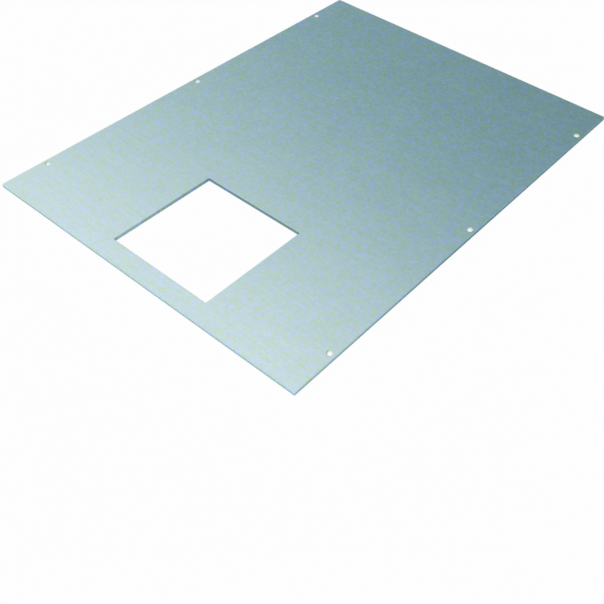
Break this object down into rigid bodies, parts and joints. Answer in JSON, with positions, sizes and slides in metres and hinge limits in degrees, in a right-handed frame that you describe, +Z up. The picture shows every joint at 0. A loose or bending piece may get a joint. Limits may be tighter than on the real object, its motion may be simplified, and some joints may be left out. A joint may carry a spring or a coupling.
{
  "type": "rectangular cover plate",
  "caption": "Flat rectangular steel cover plate with a square cut-out near one short end and countersunk fixing holes along both long edges.",
  "frame": {"origin": "middle of the underside, the face that rests on the frame or floor it covers", "axes": "+X along the long edges, away from the end with the cut-out; +Y across the plate, away from the long edge that the cut-out lies nearer to; +Z up, out of the countersunk face"},
  "size_m": [0.8, 0.6, 0.006],
  "materials": {
    "zinc_steel": "satin zinc coated steel sheet with a fine grain"
  },
  "bodies": {
    "root": {"cover_plate": "zinc_steel"}
  },
  "joints": []
}
